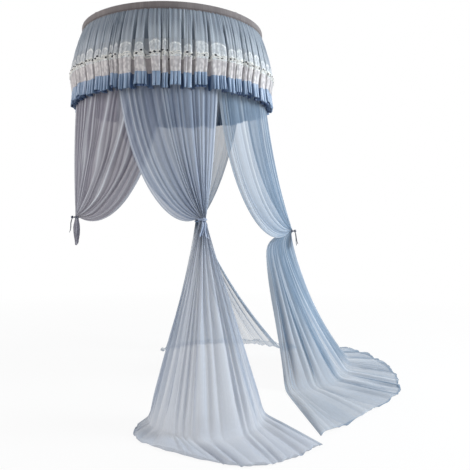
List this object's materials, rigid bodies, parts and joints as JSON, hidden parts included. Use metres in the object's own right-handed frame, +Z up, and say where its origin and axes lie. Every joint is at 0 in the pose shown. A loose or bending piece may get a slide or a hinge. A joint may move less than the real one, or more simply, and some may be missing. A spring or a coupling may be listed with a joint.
{
  "type": "bed crown canopy",
  "caption": "Round hoop canopy with a tiered lace and satin valance and tied-back sheer panels, hung from the ceiling on a swivel.",
  "frame": {"origin": "middle of the ceiling plate's top face, which lies against the ceiling", "axes": "+Z up out of the plate into the ceiling, +X to the right and +Y away from someone at the foot of the bed"},
  "size_m": [2.3056, 2.7433, 2.6143],
  "materials": {
    "steel": "plated steel, satin",
    "dark_steel": "plated steel, darker",
    "webbing": "flat woven webbing",
    "taupe_cloth": "plain woven cotton tape",
    "cool_sheer": "fine hexagonal tulle, see-through",
    "warm_sheer": "fine hexagonal tulle, see-through",
    "lace": "embroidered net lace",
    "cream_cloth": "soft plain cotton voile",
    "blue_satin": "satin weave with a sheen",
    "slate_satin": "satin weave with a sheen"
  },
  "bodies": {
    "hanger": {"ceiling_plate": "steel", "snap_hook": "steel", "snap_gate_pin": "dark_steel", "swivel_bolt": "steel", "swivel_washer": "dark_steel"},
    "gate": {"snap_gate": "dark_steel"},
    "crown": {"crown_hub": "steel", "hanger_strap_1": "webbing", "hanger_strap_2": "webbing", "hanger_strap_3": "webbing", "hanger_strap_4": "webbing", "hoop_segment_1": "steel", "hoop_segment_2": "steel", "hoop_segment_3": "steel", "hoop_segment_4": "steel", "hoop_ferrule_1": "dark_steel", "hoop_ferrule_2": "dark_steel", "hoop_ferrule_3": "dark_steel", "hoop_ferrule_4": "dark_steel", "header_band": "taupe_cloth", "roof_net": "cool_sheer", "roof_patch": "taupe_cloth", "valance_skirt": "cool_sheer", "lace_band": "lace", "cream_flounce": "cream_cloth", "satin_ruffle": "blue_satin", "panel_left": "warm_sheer", "panel_front": "cool_sheer", "panel_right": "cool_sheer", "panel_back": "warm_sheer", "tie_band_left": "slate_satin", "tie_band_front": "blue_satin", "tie_band_right": "slate_satin", "tie_band_back": "blue_satin", "tie_knot_left": "slate_satin", "tie_knot_front": "blue_satin", "tie_knot_right": "slate_satin", "tie_knot_back": "blue_satin"}
  },
  "joints": [
    {"name": "crown_swivel", "type": "hinge", "parent": "hanger", "child": "crown", "pos_m": [0, 0, -0.1], "axis": [0, 0, 1], "continuous": true},
    {"name": "gate_swing", "type": "hinge", "parent": "hanger", "child": "gate", "pos_m": [0.01, 0, -0.055], "axis": [0, -1, 0], "range_deg": [0, 25], "stiffness_Nm_per_rad": 0.05}
  ]
}
